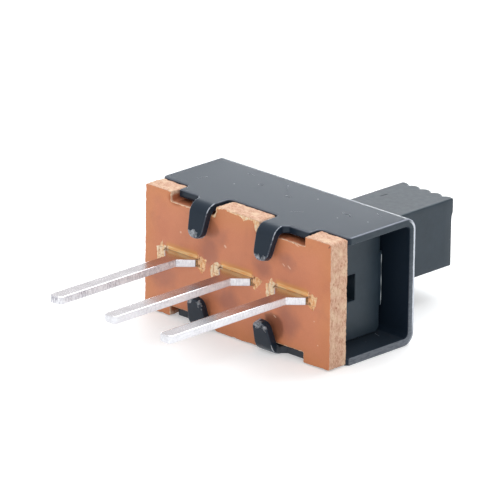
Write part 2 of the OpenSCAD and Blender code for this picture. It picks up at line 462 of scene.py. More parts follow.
# ---------------- frame
MID_R = FOLD_R + SHEET / 2
BEND_MID_R = CLAW_BEND_R + SHEET / 2
FLANGE_S = FOLD_Z + math.pi / 2 * MID_R
BEND_S = FLANGE_S + FOLD_Y - CLAW_BEND_Y
BEND_TURN = math.pi / 2 - CLAW_OPEN
FINGER_S = BEND_S + BEND_TURN * BEND_MID_R
FOLD_STEPS = 12
BEND_STEPS = 12
FOLD_POINTS = 43
BEND_POINTS = 8
ROW_GAP = 0.12
FRAME_EDGE = 0.045


def flat_s(y):
    """How far from the web's middle a depth on the flange lies, along the flat sheet."""
    return FLANGE_S + FOLD_Y - y


def fold_sheet(x, s, h):
    """Folds the flat sheet: x along the frame, s along the sheet, h outwards from its middle."""
    side = np.sign(s)
    s = np.abs(s)
    turn = np.clip((s - FOLD_Z) / MID_R, 0, math.pi / 2)
    y = FOLD_Y + (MID_R + h) * np.cos(turn)
    z = np.minimum(s, FOLD_Z) + (MID_R + h) * np.sin(turn)
    y = y - np.clip(s - FLANGE_S, 0, FOLD_Y - CLAW_BEND_Y)
    bend = np.clip((s - BEND_S) / BEND_MID_R, 0, BEND_TURN)
    past = s > BEND_S
    y = np.where(past, CLAW_BEND_Y - (BEND_MID_R + h) * np.sin(bend), y)
    z = np.where(past, CLAW_BEND_Z + (BEND_MID_R + h) * np.cos(bend), z)
    finger = np.maximum(s - FINGER_S, 0)
    y = y - finger * math.sin(CLAW_OPEN)
    z = z - finger * math.cos(CLAW_OPEN)
    return columns(x, y, side * z)


def claw_points():
    """Outline of one tongue and claw in the flat sheet, from its outer side to its inner one."""
    tip = FINGER_S + CLAW_L
    return [
        (TONGUE_OUT, flat_s(FLANGE_Y), FILLET_OUT),
        (TONGUE_OUT, flat_s(SHOULDER_Y), 0.06),
        (NECK_OUT, flat_s(SHOULDER_Y), 0.04),
        (CLAW_OUT, BEND_S, 0.1),
        (CLAW_OUT, FINGER_S, 0),
        (CLAW_OUT - CLAW_TAPER, tip, CLAW_TIP_R - 0.005),
        (CLAW_OUT - CLAW_TAPER - 2 * CLAW_TIP_R, tip, CLAW_TIP_R - 0.005),
        (TONGUE_IN, FINGER_S, 0),
        (TONGUE_IN, flat_s(FLANGE_Y), FILLET_IN)]


def frame_outline():
    """The whole flat sheet's outline, anticlockwise."""
    edge = flat_s(FLANGE_Y)
    right = [(FRAME_X, edge - CORNER_CUT, 0.03), (FRAME_X - CORNER_CUT, edge, 0.03)] + claw_points()
    return rounded(doubled(mirrored(right)))


def frame_marks(points, marks):
    """Adds how deep in the sheet each point is, where highlights are painted along the frame's outer edges,
    where the lower claws' cut sides are painted paler as a reflection of the floor, where the coat is worn
    on the claws' edges, with painted highlights there too, and where it is scraped off its claws' tips."""
    x, y, z = points.T
    up = marks["up"]
    outer_rim = marks["rim"] * (up > 0)
    claw = 1 - smooth(y, 0.05, SHOULDER_Y)
    end = smooth(abs(x), FRAME_X - 0.08, FRAME_X - 0.03)
    bend = smooth(abs(z), CLAW_TIP_Z + 0.7, INNER_Z - 0.1)
    tip = 1 - smooth(abs(z), CLAW_TIP_Z + 0.05, CLAW_TIP_Z + 0.55)
    claw_middle = (TONGUE_IN + CLAW_OUT) / 2 * np.sign(x)
    marks.update(
        depth=(1 - up) * SHEET / 2,
        # Outer edges: a painted highlight, stronger towards the frame's ends.
        lip=outer_rim * (0.4 + 0.6 * end) * (1 - 0.5 * claw),
        wear=outer_rim * claw * (0.9 + 0.35 * bend),
        # Lower claws' cut sides near the board: painted paler as a reflection of the floor.
        sheared=marks["cut"] * (z < 0) * (y > -0.05) * (y < BASE_T),
        scuff=claw * tip * (0.55 + 0.45 * smooth(claw_middle - x, -0.3, 0.25)))


def frame_rows(folds, bends):
    """Points across the flat sheet along each line of a fold, and of a claw's bend."""
    rows = [(x, side * s) for s in folds for side in (1, -1)
            for x in np.linspace(ROW_GAP - FRAME_X, FRAME_X - ROW_GAP, FOLD_POINTS)]
    return rows + [(end * x, side * s) for s in bends for side in (1, -1) for end in (1, -1)
                   for x in np.linspace(TONGUE_IN + ROW_GAP, CLAW_OUT - ROW_GAP, BEND_POINTS)]


def rough_shear(loop, height):
    """How far a sheared edge of the sheet stands in at a height."""
    spots = np.column_stack([loop, np.full(len(loop), height * 2)])
    return np.maximum(0, wander(spots, 3.1, 1)) * 0.012 + np.abs(wander(spots, 11, 2)) * 0.006


def build_frame(material):
    folds = [FOLD_Z + math.pi / 2 * MID_R * j / FOLD_STEPS for j in range(FOLD_STEPS + 1)]
    bends = [BEND_S + BEND_TURN * BEND_MID_R * j / BEND_STEPS for j in range(BEND_STEPS + 1)]
    levels = [side * s for s in folds + bends for side in (1, -1)]
    outline = divide(frame_outline(), 0.1, levels)
    window_x = (KNOB_L + TRAVEL) / 2 + WINDOW_GAP
    window = divide(box_loop((-window_x, -WINDOW_Z), (window_x, WINDOW_Z), WINDOW_R), 0.1)[::-1]
    rows = frame_rows(folds, bends)
    part = plate([outline, window], SHEET, fold_sheet, FRAME_EDGE, rows, 3, rough_shear)
    frame_marks(part[0], part[2])
    return dress(make_object("steel_frame", part), "switch_body", ["frame"], material)


# ---------------- base
SLOTS = (-1, 0, 1)
BASE_EDGE = 0.03
SLOT_EDGE = 0.01
FACE_GRID = 0.06
LAND_Z = 1.7
TEAR_GRID = 0.025
TEAR_ACROSS = (0.62, 1.3)
TEAR_UP = 0.42
NOTCH_FRAY = 0.05
CRUSH = 0.3
FLESH = 0.9
FIBRES = 12
# Painted shadows beside two claws on the board's face: a strength and an outline for each.
CLAW_SHADOWS = [
    (1, [(1.3, -0.95), (1.6, -0.83), (1.95, -0.88), (2.14, -1.05), (2.2, -1.3), (2.14, -1.55),
         (1.96, -1.74), (1.5, -1.8)]),
    (0.5, [(-1.5, 1.75), (-1.15, 1.72), (-0.9, 1.55), (-0.8, 1.35), (-0.92, 1.15), (-1.2, 1.05),
           (-1.5, 1.05)])]
# Painted shade on the face round the slots, where the pins keep light off: centre across, centre up, width,
# height and strength of each patch.
SHADES = [
    (-1.25, 0.55, 0.55, 0.65, 1), (-0.9, 1.15, 0.5, 0.4, 0.6), (1.15, 0.65, 0.5, 0.4, 1),
    (-3.4, -0.9, 0.8, 0.45, 0.9), (-0.4, -0.95, 0.75, 0.4, 0.9), (2.3, -0.95, 0.65, 0.65, 0.9),
    (2.3, 1.1, 0.55, 0.35, 0.6)]
PITS = [
    (-0.9, 0.03, -0.78, 0.14, 0.022), (0.775, 0.13, 0.775, 0.15, 0.03), (0.77, -0.08, 0.77, -0.11, 0.03)]
# Centre of a reddened spot by the upper left notch.
RED_SPOT = (-2.85, 1.98)
TEAR_DEEP = 0.03
CRUSH_DEEP = 0.012
PIT_DEEP = 0.06
WAVE_DEEP = 0.006
PLUG_T = 0.08
PLUG_PROUD = 0.004
PLUG_LAP = 0.12
PLUG_SINK = 0.02
LEFT_TEARS = [
    [(-1.25, 0.0), (-1.08, 0.17), (-0.95, 0.26), (-0.81, 0.23), (-0.66, 0.19), (-0.72, -0.2),
     (-0.99, -0.21), (-1.18, -0.34), (-1.23, -0.18)],
    [(-1.2, 0.11), (-1.06, 0.15), (-0.95, 0.38), (-0.87, 0.24), (-0.66, 0.21), (-0.7, -0.2),
     (-0.99, -0.23), (-1.08, -0.3), (-1.19, -0.35)]]
RIGHT_TEARS = [
    [(0.66, 0.2), (0.82, 0.2), (0.95, 0.22), (1.17, 0.12), (1.06, -0.02), (0.82, -0.26), (0.72, -0.2)],
    [(0.68, 0.16), (0.74, 0.32), (0.79, 0.22), (0.91, 0.27), (1.02, 0.2), (1.15, 0.22), (1.1, 0.04),
     (1.08, -0.12), (0.94, -0.32), (0.78, -0.2), (0.7, -0.18)]]
LAND_TEARS = [
    [(-0.6, 2.3), (-0.5, 2.15), (-0.2, 2.13), (0.1, 2.12), (0.2, 2.07), (0.29, 1.98), (0.36, 2.06),
     (0.52, 2.1), (0.7, 2.12), (0.77, 1.98), (0.8, 1.84), (0.86, 1.76), (0.92, 1.88), (1.1, 1.8),
     (1.1, 2.3)],
    [(-1.2, 1.8), (-1.02, 1.8), (-0.98, 1.95), (-0.93, 2.0), (-0.95, 2.1), (-0.88, 2.14), (-0.7, 2.16),
     (-0.6, 2.3), (-1.2, 2.3)]]


def base_place(x, z, h):
    """Puts the base's outline in place."""
    return columns(x, BASE_T / 2 - h, z)


def slot_loop(centre):
    """The slot round a terminal's stem."""
    across, up = SLOT_L / 2, SLOT_H / 2
    return box_loop((centre - across, -up), (centre + across, up), 0.02)[::-1]


def base_loops():
    """Outline with four notches, and three slots."""
    nick = 0.05
    corner = [
        (BASE_X, BASE_Z, 0.09), (NOTCH_X1, BASE_Z, nick), (NOTCH_X1, NOTCH_Z, nick),
        (NOTCH_X0, NOTCH_Z, 0.2), (NOTCH_X0, BASE_Z, 0.12)]
    loops = [rounded(doubled(mirrored(corner)))] + [slot_loop(i * PITCH) for i in SLOTS]
    return [divide(loop, 0.05) for loop in loops]


def tear_loops():
    """Outlines of the torn patches on the base's face, and how warm each one's colour is."""
    loops = [(np.array(loop), 0.3) for loop in LAND_TEARS]
    for i in SLOTS:
        loops.append((np.array(LEFT_TEARS[i % 2]) + (i * PITCH, 0), 0))
        loops.append((np.array(RIGHT_TEARS[i % 2]) + (i * PITCH, 0), 1))
    return loops


def within(places, loop):
    """How far inside a loop each place lies, less than 0 outside it."""
    return clearance(places, [loop]) * np.where(inside(places, [loop]), 1, -1)


def torn(places, fray):
    """Where the face is torn, from 0 to 1, and how warm the torn board's colour is there."""
    found, warm = np.zeros(len(places)), np.zeros(len(places))
    for loop, warmth in tear_loops():
        depth = within(places, loop)
        found = np.maximum(found, smooth(depth + fray, -0.02, 0.02))
        warm = np.maximum(warm, smooth(depth, -0.1, -0.05) * warmth)
    notch = np.maximum(-within(abs(places), box_loop((NOTCH_X0, NOTCH_Z), (NOTCH_X1, BASE_Z), 0)), 0)
    return np.maximum(found, 0.8 * (1 - smooth(notch - fray, 0.3 * NOTCH_FRAY, NOTCH_FRAY))), warm


def crushed(x, z):
    """How near each place is to the upper edge of a slot, where the pin pressed the board. The board is
    dented there, and its colour there is a painted glow of light along the edge.
    """
    away = np.min([abs(x - i * PITCH) for i in SLOTS], 0) - ROOT_W / 2
    band = 1 - (z - SLOT_H / 2) / CRUSH
    return np.clip(band, 0, 1) * (1 - smooth(away, -0.06, 0.08)) * (z > 0)


def pitted(places):
    """1 in the small pits beside the terminals' roots, and 0 beyond them."""
    found = np.zeros(len(places))
    for i in SLOTS:
        for x0, z0, x1, z1, radius in PITS:
            away = clearance(places - (i * PITCH, 0), [np.array([(x0, z0), (x1, z1)])])
            found = np.maximum(found, 1 - smooth(away, 0.4 * radius, 1.3 * radius))
    return found


def claw_shadowed(places):
    """How dark the painted shadows beside the claws are at each place."""
    found = [strength * smooth(within(places, np.array(loop)), -0.05, 0.08) for strength, loop in CLAW_SHADOWS]
    return np.max(found, 0)


def shaded(x, z):
    """How strong the painted shade round the slots is at each place."""
    found = [strength * (1 - smooth(np.hypot((x - x0) / wide, (z - z0) / high), 0.3, 1.3))
             for x0, z0, wide, high, strength in SHADES]
    return np.max(found, 0)


def base_marks(points, marks):
    """Adds what the laminate's material needs to know of each point, and dents the torn face."""
    x, y, z = points.T
    places = points[:, [0, 2]]
    flat = points * (1, 0, 1)
    near = y < BASE_T / 2
    front = (1 - marks["cut"]) * near
    tear, warm = torn(places, 0.018 * wander(flat, 13, 6))
    tear = tear * near * (marks["up"] > 0.9)
    press, pit = crushed(x, z) * front, front * pitted(places)
    rust = 1 - smooth(np.hypot((x - RED_SPOT[0]) / 0.35, (z - RED_SPOT[1]) / 0.22), 0.5, 1.3)
    marks.update(
        warm=warm,
        torn=tear,
        crushed=press,
        rust=rust * near,
        stain=front * claw_shadowed(places),
        shade=front * shaded(x, z),
        pit=pit,
        core=smooth(np.minimum(BASE_X - abs(x), BASE_Z - abs(z)), 0.05, FLESH))
    rough = 1 + 0.8 * wander(flat * (1.4, 1, 0.6), 13, 8)
    dent = TEAR_DEEP * tear * rough + CRUSH_DEEP * press ** 2 + PIT_DEEP * pit
    points[:, 1] += front * (dent + WAVE_DEEP * (1 + wander(flat, 0.9, 7)))


def spread(low, high, step):
    """Points on a grid over a rectangle between two corners."""
    return [(a, b) for a in np.arange(low[0], high[0], step) for b in np.arange(low[1], high[1], step)]


def face_grid():
    """Points inside the base's face, close together round the slots and on the upper land."""
    coarse = np.array(spread((-BASE_X, -BASE_Z), (BASE_X, BASE_Z), FACE_GRID))
    dense = (abs(coarse[:, 0]) < NOTCH_X0) & (coarse[:, 1] > LAND_Z)
    fine = []
    for i in SLOTS:
        away = abs(coarse[:, 0] - i * PITCH)
        dense |= (abs(coarse[:, 1]) < TEAR_UP) & (away > TEAR_ACROSS[0]) & (away < TEAR_ACROSS[1])
        for side in (-1, 1):
            patch = spread((TEAR_ACROSS[0], -TEAR_UP), (TEAR_ACROSS[1], TEAR_UP), TEAR_GRID)
            fine += [(i * PITCH + side * a, b) for a, b in patch]
    fine += spread((-NOTCH_X0, LAND_Z), (NOTCH_X0, BASE_Z), TEAR_GRID)
    return np.vstack([coarse[~dense], fine])


def slot_plug(centre, side):
    """Torn board that closes the front of a slot beside the terminal's root."""
    low, high = ROOT_W / 2 + 0.025, SLOT_L / 2 + PLUG_LAP
    reach = SLOT_H / 2 + PLUG_LAP
    loop = divide(box_loop((low, -reach), (high, reach), 0.02), 0.03)
    grid = spread((low, -reach), (high, reach), TEAR_GRID)
    points, faces, marks = plate(
        [loop], PLUG_T, lambda a, b, h: columns(centre + side * a, PLUG_T / 2 - h, b), 0.006, grid, 2)
    base_marks(points, marks)
    ahead, aside = side * (points[:, 0] - centre), abs(points[:, 2])
    lap = np.maximum(smooth(ahead, high - PLUG_LAP, high), smooth(aside, reach - PLUG_LAP, reach))
    points[:, 1] += PLUG_SINK * lap - PLUG_PROUD
    return points, [face[::side] for face in faces], marks


def fibre(start, ahead, width, lift):
    """One torn fibre: a closed sliver from its root to its tip, bowed off the face."""
    start, ahead = np.array(start, float), np.array(ahead, float)
    across = np.cross(unit(ahead), (0, 1, 0))
    points = [start]
    for share, girth in ((0.3, 1.0), (0.7, 0.7)):
        centre = start + ahead * share - (0, lift * share * share, 0)
        points += [centre + across * width * girth * c + np.array((0, width * girth * d, 0))
                   for c, d in ((1, 0), (0, -1), (-1, 0), (0, 1))]
    points.append(start + ahead - (0, lift, 0))
    faces = [(0, 1 + (i + 1) % 4, 1 + i) for i in range(4)]
    faces += [(1 + i, 1 + (i + 1) % 4, 5 + (i + 1) % 4, 5 + i) for i in range(4)]
    faces += [(9, 5 + i, 5 + (i + 1) % 4) for i in range(4)]
    return np.array(points), faces, {"torn": [1] * len(points), "warm": [0.4] * len(points)}


def slot_fibres(centre, side, rng):
    """Torn fibres that stand round the end of a slot."""
    made = []
    for _ in range(FIBRES):
        x = rng.uniform(ROOT_W / 2 + 0.1, SLOT_L / 2 + 0.01)
        edge = rng.choice((-1, 1))
        start = (centre + side * x, rng.uniform(0.02, 0.05), edge * TORN_H / 2)
        ahead = (rng.uniform(-0.05, 0.05), -0.01, edge * rng.uniform(0.04, 0.13))
        made.append(fibre(start, ahead, rng.uniform(0.008, 0.014), rng.uniform(0, 0.02)))
    return made


def rough_board(loop, height):
    """How far the board's punched side stands in at a height. It is nearly smooth in the slots."""
    spots = np.column_stack([loop, np.full(len(loop), height)])
    coarse = np.maximum(0, wander(spots * (1, 1, 0.5), 2.3, 3)) * 0.03
    layers = np.abs(wander(spots * (1, 1, 3), 6.0, 4)) * 0.035
    grit = np.abs(wander(spots, 17, 5)) * 0.02
    throat = (abs(loop[:, 1]) < SLOT_H / 2 + 0.02) & (abs(loop[:, 0]) < BASE_X - 0.2)
    return (coarse + layers + grit) * np.where(throat, 0.03, 1)


def build_base(material):
    edges = [BASE_EDGE] + [SLOT_EDGE] * len(SLOTS)
    board = plate(base_loops(), BASE_T, base_place, edges, face_grid(), 14, rough_board)
    base_marks(board[0], board[2])
    rng = random.Random(4)
    parts = [board]
    for i in SLOTS:
        for side in (-1, 1):
            parts.append(slot_plug(i * PITCH, side))
            parts += slot_fibres(i * PITCH, side, rng)
    piece = make_object("laminate_base", joined(*parts))
    return dress(piece, "switch_body", ["base"], material)


# ---------------- terminals
def terminal_loop():
    """Pin, sloped shoulders, root, stem, foot and contact blade, as one anticlockwise outline."""
    foot = PIN_HIGH[0]
    shoulder = (PIN_W - ROOT_W) / 2 - ROOT_L
    stem_y = ROOT_Y + (STEM_W - ROOT_W) / 2
    right = [
        (PIN_W / 2, PIN_LOW[1], PIN_TIP_R),
        (PIN_W / 2, shoulder, 0.06),
        (ROOT_W / 2, -ROOT_L, 0.03),
        (ROOT_W / 2, ROOT_Y, 0.02),
        (STEM_W / 2, stem_y, 0.02),
        (STEM_W / 2, BASE_T + TOUCH, 0),
        (foot, BASE_T + TOUCH, 0.02),
        (foot, FOOT_Y, 0.02),
        (BLADE_W / 2, FOOT_Y, 0),
        (BLADE_W / 2, PIN_HIGH[1], BLADE_R)]
    return rounded(mirrored(right))


def build_terminals(material):
    loop = divide(terminal_loop(), 0.15)
    for name, centre in (("left", -PITCH), ("middle", 0), ("right", PITCH)):
        part = plate([loop], PIN_T, lambda x, y, h: columns(x + centre, y, h), PIN_EDGE, walls=2)
        pin = make_object(f"pin_{name}", part)
        dress(pin, "switch_body", [f"terminal_{name}"], material)


# ---------------- slider
def knob_loop():
    """Side of the knob: a bar whose end has rounded grip ridges."""
    radius = (RIDGE_PITCH ** 2 / 4 + RIDGE_D ** 2) / (2 * RIDGE_D)
    half = KNOB_L / 2
    steps = 10
    crest = []
    for i in range(RIDGES):
        centre = ((RIDGES - 1) / 2 - i) * RIDGE_PITCH
        for j in range(steps + (i == RIDGES - 1)):
            a = centre + RIDGE_PITCH / 2 - RIDGE_PITCH * j / steps
            if abs(a) < half:
                crest.append((a, KNOB_Y - radius + math.sqrt(radius ** 2 - (a - centre) ** 2)))
    end = crest[0][1] - 0.01
    loop = [(-half, BLOCK_Y1 - 0.02), (half, BLOCK_Y1 - 0.02), (half, end)] + crest + [(-half, end)]
    return tidy(np.array(loop), 0.01)


def knob_place(x, y, h):
    """Puts the knob in place. Its last ridge is full only near the knob's upper side."""
    last = smooth(x, (RIDGES / 2 - 1) * RIDGE_PITCH, (RIDGES / 2 - 0.8) * RIDGE_PITCH)
    tip = smooth(y, KNOB_Y - 2.5 * RIDGE_D, KNOB_Y - 0.8 * RIDGE_D)
    short = SHORT_RIDGE * last * tip * (1 - smooth(h, *SHORT_RIDGE_Z))
    return columns(x + KNOB_X, y - short, h)


def block_loop():
    """Section of the block across the frame, with the groove over the contact blades."""
    cut = BLOCK_CUT
    right = [
        (BLOCK_Y0, GROOVE_W / 2, 0.02), (BLOCK_Y0, BLOCK_Z, 0.06),
        (BLOCK_Y1 - cut, BLOCK_Z, 0.04), (BLOCK_Y1, BLOCK_Z - cut, 0.04)]
    left = [(y, -z, r) for y, z, r in reversed(right)]
    groove = [(GROOVE_Y, -GROOVE_W / 2, 0.03), (GROOVE_Y, GROOVE_W / 2, 0.03)]
    return rounded((right + left + groove)[::-1])


def solid_box(low, high, edge):
    """A box with rounded edges."""
    (x0, y0, z0), (x1, y1, z1) = low, high
    loop = divide(box_loop((x0, y0), (x1, y1), edge), 0.4)
    return plate([loop], z1 - z0, lambda a, b, h: columns(a, b, h + (z0 + z1) / 2), edge)


def merge(target, other, operation):
    """Adds the other object to the target, or cuts it away, and removes it."""
    step = target.modifiers.new("merge", "BOOLEAN")
    step.operation = operation
    step.object = other
    step.solver = "EXACT"
    bpy.context.view_layer.update()
    ready = target.evaluated_get(bpy.context.evaluated_depsgraph_get())
    mesh = bpy.data.meshes.new_from_object(ready)
    target.modifiers.clear()
    target.data = mesh
    bpy.data.objects.remove(other)


def flash_line(x, side, seed):
    """Moulding flash: a thin wavy bead along the end of a pad."""
    z = np.linspace(-PAD_W / 2, 0.9 * PAD_W / 2, FLASH_STEPS)
    along = columns(z * 0, z * 0, z)
    girth = FLASH_R * (1 + smooth(wander(along, 2.2, seed), -0.3, 0.3))
    girth[0] = girth[-1] = 0.002
    sway = FLASH_R * wander(along, 1.5, seed + 1)
    turns = np.arange(FLASH_SIDES) * 2 * math.pi / FLASH_SIDES
    across = x - side * FLASH_R + girth[:, None] * np.cos(turns)
    proud = BLOCK_Y1 + PAD_H - 0.03 + sway[:, None] + girth[:, None] * np.sin(turns)
    points = np.stack([across, proud, np.repeat(z[:, None], FLASH_SIDES, 1)], 2).reshape(-1, 3)
    rings = np.arange(len(points)).reshape(FLASH_STEPS, FLASH_SIDES)
    beside = np.roll(rings, -1, 1)
    quads = np.stack([rings[:-1], beside[:-1], beside[1:], rings[1:]], 2).reshape(-1, 4)
    ends = [rings[0][::-1].tolist(), rings[-1].tolist()]
    return points, quads.tolist() + ends, {"flash": np.ones(len(points))}


def absorb(target, part):
    """Adds the shell of (points, faces, marks) to an object's mesh."""
    for key in part[2]:
        if key not in target.data.attributes:
            target.data.attributes.new(key, "FLOAT", "POINT")
    extra = raw_mesh("extra", part)
    work = bmesh.new()
    work.from_mesh(target.data)
    work.from_mesh(extra)
    work.to_mesh(target.data)
    work.free()
    bpy.data.meshes.remove(extra)


def build_block(half):
    """The bare block inside the frame, half its length long each way."""
    loop = divide(block_loop(), 0.3)
    block = plate([loop], 2 * half, lambda y, z, h: columns(h + KNOB_X, y, z), BLOCK_EDGE)
    return make_object("slider_moulding", block)


def build_collar():
    """The collar behind the window, a little longer and wider than the knob."""
    half = COLLAR_L / 2
    across = (BLOCK_Z + WINDOW_Z) / 2
    low = (KNOB_X - half, BLOCK_Y1 - SUNK, -across)
    return make_object("collar", solid_box(low, (KNOB_X + half, WEB_Y - COLLAR_GAP, across), 0.03))


def build_pad(centre):
    """One of the two pads that run along the inside of the web."""
    half = PAD_L / 2 - 0.002
    low = (centre - half, BLOCK_Y1 - SUNK, -PAD_W / 2)
    return make_object("pad", solid_box(low, (centre + half, BLOCK_Y1 + PAD_H, PAD_W / 2), 0.03))


def clip_pocket():
    """The room in the block for the contact clip."""
    low, high = node_box("contact_clip")
    low, high = low - POCKET_GAP, high + POCKET_GAP
    low[1] = BLOCK_Y0 - SUNK
    return make_object("pocket", solid_box(low, high, 0.02))


def build_slider(material):
    half = (SLIDER_HIGH[0] - SLIDER_LOW[0]) / 2
    block = build_block(half)
    knob = make_object("knob", plate([divide(knob_loop(), 0.4)], KNOB_W, knob_place, KNOB_EDGE, walls=16))
    merge(block, build_collar(), "UNION")
    for side in (-1, 1):
        merge(block, build_pad(KNOB_X + side * (half - PAD_L / 2)), "UNION")
    merge(block, knob, "UNION")
    merge(block, clip_pocket(), "DIFFERENCE")
    for side in (-1, 1):
        absorb(block, flash_line(KNOB_X + side * half, side, 20 + side))
    soften(block.data, MOULDED_SHARP)
    return dress(block, "slider", ["slider"], material)


def dress_clip(material):
    """Gives the contact clip a material. It keeps its CAD mesh, which is hardly seen."""
    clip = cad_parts["contact_clip"]
    clip.data.materials.clear()
    clip.data.materials.append(material)


# ---------------- materials
class Nodes:
    """A node tree that is built one call at a time."""

    def __init__(self, owner):
        owner.use_nodes = True
        self.tree = owner.node_tree
        self.tree.nodes.clear()

    def node(self, kind, inputs=None, **settings):
        made = self.tree.nodes.new("ShaderNode" + kind)
        for key, value in settings.items():
            setattr(made, key, value)
        for key, value in (inputs or {}).items():
            self.set(made.inputs[key], value)
        return made

    def set(self, socket, value):
        """Links another node's output to a socket, or sets the socket's own value."""
        if isinstance(value, bpy.types.NodeSocket):
            self.tree.links.new(value, socket)
        else:
            socket.default_value = (*value, 1) if socket.type == "RGBA" else value

    def math(self, operation, a, b=0.0):
        return self.node("Math", {0: a, 1: b}, operation=operation).outputs[0]

    def total(self, *values):
        return reduce(lambda a, b: self.math("ADD", a, b), values)

    def product(self, *values):
        return reduce(lambda a, b: self.math("MULTIPLY", a, b), values)


class Shader(Nodes):
    """A new material with one Principled surface. Places and sizes are in millimetres."""

    def __init__(self, name):
        self.material = bpy.data.materials.new(name)
        super().__init__(self.material)
        self.surface = self.node("BsdfPrincipled")
        self.node("OutputMaterial", {"Surface": self.surface.outputs[0]})
        self.place = self.node("TexCoord").outputs["Object"]

    def place_by(self, operation, vector):
        """The place multiplied by a vector, or its dot product with one."""
        factor = tuple(v / MM for v in vector)
        return self.node("VectorMath", {0: self.place, 1: factor}, operation=operation).outputs

    def noise(self, size, detail=3.0, roughness=0.55, stretch=(1, 1, 1), distortion=0.0):
        """Noise whose blobs are about a size across, and longer along an axis whose stretch is low."""
        made = self.node("TexNoise", {
            "Vector": self.place_by("MULTIPLY", stretch)[0], "Scale": 1 / size, "Detail": detail,
            "Roughness": roughness, "Distortion": distortion})
        return made.outputs["Fac"]

    def ramp(self, value, low, high, start=0.0, end=1.0):
        """A value from low to high becomes start to end, held beyond them."""
        made = self.node("MapRange", {0: value, 1: low, 2: high, 3: start, 4: end})
        return made.outputs[0]

    def mix(self, share, first, second):
        return self.node("Mix", {0: share, 6: first, 7: second}, data_type="RGBA").outputs[2]

    def layers(self, colour, *over):
        """The colour with (share, colour) layers laid over it in turn."""
        for share, laid in over:
            colour = self.mix(share, colour, laid)
        return colour

    def along(self, ahead, start=0.0):
        """How far the place is along a direction, from a start."""
        return self.math("SUBTRACT", self.place_by("DOT_PRODUCT", ahead)["Value"], start)

    def axis(self, index):
        """The size of one coordinate of the place."""
        return self.math("ABSOLUTE", self.along(tuple(float(i == index) for i in range(3))))

    def stroke(self, x, b, turn, length, width, second=1):
        """1 along a short scratch at x and b, where b is on the second axis, and 0 beyond it."""
        cos, sin = math.cos(math.radians(turn)), math.sin(math.radians(turn))
        ahead, across = [cos, 0, 0], [-sin, 0, 0]
        ahead[second], across[second] = sin, cos
        reach = self.math("ABSOLUTE", self.along(ahead, x * cos + b * sin))
        aside = self.math("ABSOLUTE", self.along(across, b * cos - x * sin))
        near = self.ramp(reach, 0.25 * length, 0.5 * length, 1, 0)
        return self.product(near, self.ramp(aside, 0.2 * width, 0.5 * width, 1, 0))

    def strokes(self, places, second=1):
        return self.total(*[self.stroke(*place, second=second) for place in places])

    def mark(self, name):
        """A number that the mesh carries at its points."""
        return self.node("Attribute", attribute_name=name).outputs["Fac"]

    def bump(self, height, distance, strength=1.0, under=None):
        """A bump whose height 1 is a distance, over the bump under it if there is one."""
        inputs = {"Height": height, "Distance": distance * MM, "Strength": strength}
        if under is not None:
            inputs["Normal"] = under
        return self.node("Bump", inputs).outputs[0]

    def finish(self, **inputs):
        for key, value in inputs.items():
            name = key.replace("_", " ").title().replace("Ior", "IOR")
            self.set(self.surface.inputs[name], value)
        return self.material


COAT = (0.0105, 0.019, 0.032)
COAT_GLOSS = (0.8, 0.9, 1.0)
COAT_SHEEN = (0.65, 0.82, 1.0)
END_STEEL_FLOOR_LIT = (0.03, 0.042, 0.052), (0.15, 0.165, 0.19)
WEB_EDGE_HIGHLIGHT = (0.66, 0.70, 0.76)
FLOOR_LIT_EDGE = (0.075, 0.085, 0.10)
EDGE_HIGHLIGHT = (0.36, 0.38, 0.45)
WORN_EDGE_AND_HIGHLIGHT = (0.50, 0.54, 0.60)
SCUFF = (0.14, 0.15, 0.165), (0.46, 0.48, 0.52)
SPECK = (0.46, 0.50, 0.56)
TOP_SCRAPES = [
    (-1.4, 2.56, 20, 0.22, 0.05), (0.02, 2.38, 15, 0.2, 0.05), (2.57, 2.49, 10, 0.3, 0.06),
    (2.77, 2.46, -35, 0.2, 0.05), (-3.3, 1.7, 70, 0.4, 0.02), (-0.6, 3.0, -50, 0.5, 0.015),
    (1.3, 1.5, 35, 0.45, 0.015), (3.4, 3.2, -20, 0.35, 0.02), (-2.4, 3.1, 5, 0.3, 0.02)]
TOP_SPECKS = [(x, y, 0, 0.06, 0.05) for x, y in ((2.64, 2.01), (3.61, 2.44), (-2.1, 2.0), (0.9, 2.9))]


def steel_end(s, fray):
    """Layers for the sheet's cut ends: streaked, paler towards the bottom as a painted reflection of the
    floor, with a painted highlight along the outer edge of the web.
    """
    up = s.along((0, 0, 1))
    end = s.ramp(s.axis(0), FRAME_X - 0.035, FRAME_X - 0.015)
    # 1 at the bottom, where the end faces are painted paler as a reflection of the bright floor.
    low = s.ramp(up, -INNER_Z, 1.6, 1, 0)
    streak = s.ramp(s.noise(0.06, 3, 0.6, (1, 0.25, 1)), 0.35, 0.65, 0.6, 1.2)
    deep = s.total(s.mark("depth"), s.product(fray, 0.03))
    # A painted highlight along the web's outer end edge, weaker at the top corner and at the bottom.
    bare = s.product(
        end,
        s.ramp(deep, 0.09, 0.11, 1, 0),
        s.ramp(s.along((0, 1, 0)), BODY_D - 0.35, BODY_D - 0.2),
        s.ramp(up, -1.9, -1.3, 0.25, 1),
        s.ramp(up, FRAME_Z - 0.25, FRAME_Z - 0.1, 1, 0.5))
    return (s.product(end, streak), s.mix(low, *END_STEEL_FLOOR_LIT)), (bare, WEB_EDGE_HIGHLIGHT)


